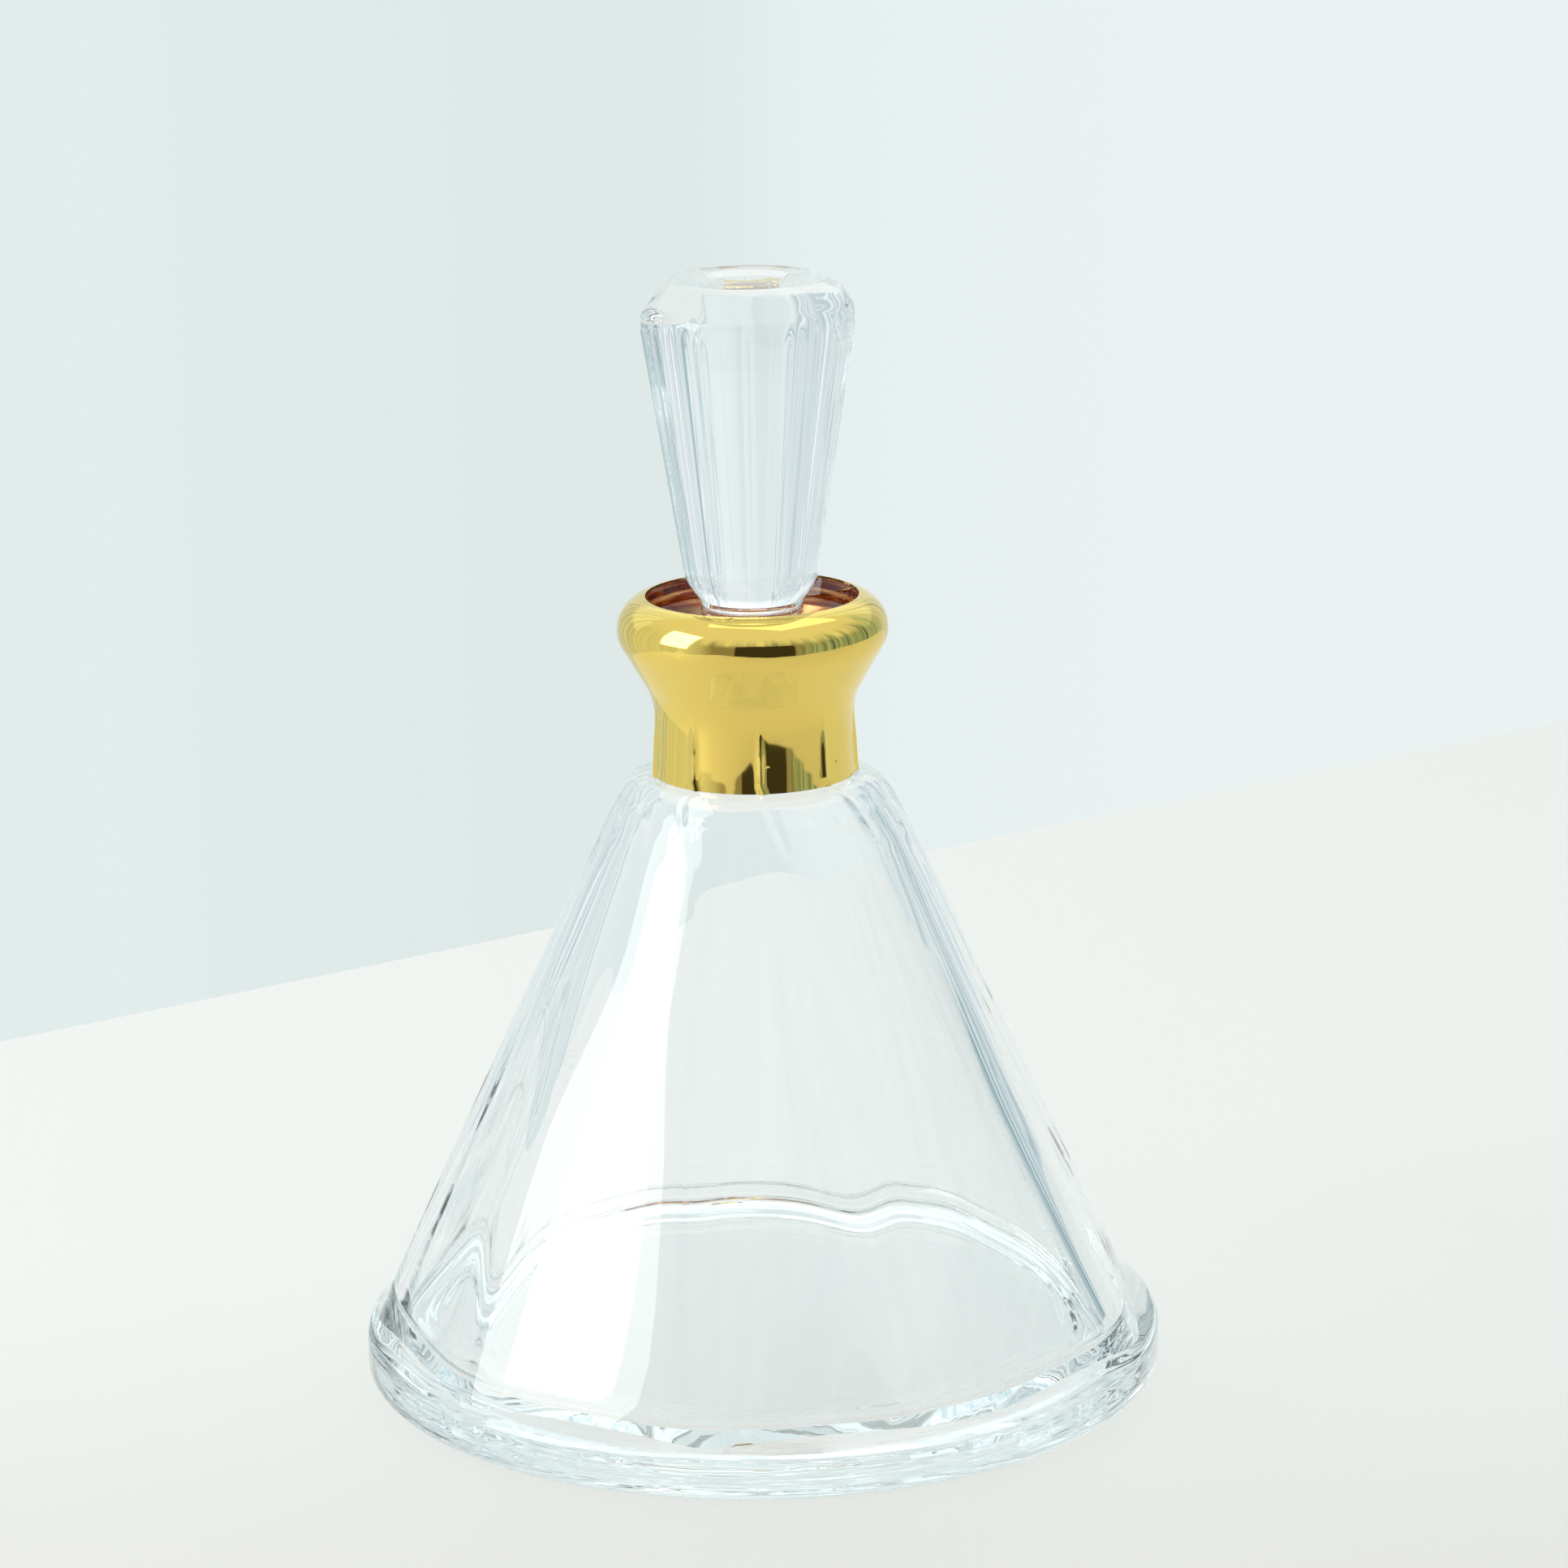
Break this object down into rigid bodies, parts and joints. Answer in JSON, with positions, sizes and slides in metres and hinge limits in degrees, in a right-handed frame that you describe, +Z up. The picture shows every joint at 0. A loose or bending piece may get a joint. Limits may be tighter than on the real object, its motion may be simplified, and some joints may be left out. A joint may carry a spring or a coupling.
{
  "type": "perfume bottle",
  "caption": "Faceted clear glass perfume decanter with a round foot, a gold-coated flared neck and a lift-out faceted glass stopper.",
  "frame": {"origin": "centre of the foot, on the surface the bottle stands on", "axes": "+Z up along the bottle's axis, front towards -Y"},
  "size_m": [0.12, 0.12, 0.165],
  "materials": {
    "clear_glass": "clear, polished",
    "gold_coat": "mirror gold",
    "clear_sleeve": "soft, clear",
    "stopper_glass": "clear, polished"
  },
  "bodies": {
    "bottle": {"bottle_glass": "clear_glass", "gold_collar": "gold_coat"},
    "sleeve": {"sealing_sleeve": "clear_sleeve"},
    "stopper": {"stopper_glass": "stopper_glass"}
  },
  "joints": [
    {"name": "stopper_lift", "type": "slide", "parent": "bottle", "child": "sleeve", "axis": [0, 0, 1], "range_m": [0, 0.06]},
    {"name": "stopper_turn", "type": "hinge", "parent": "sleeve", "child": "stopper", "pos_m": [0, 0, 0.11], "axis": [0, 0, 1], "continuous": true}
  ]
}
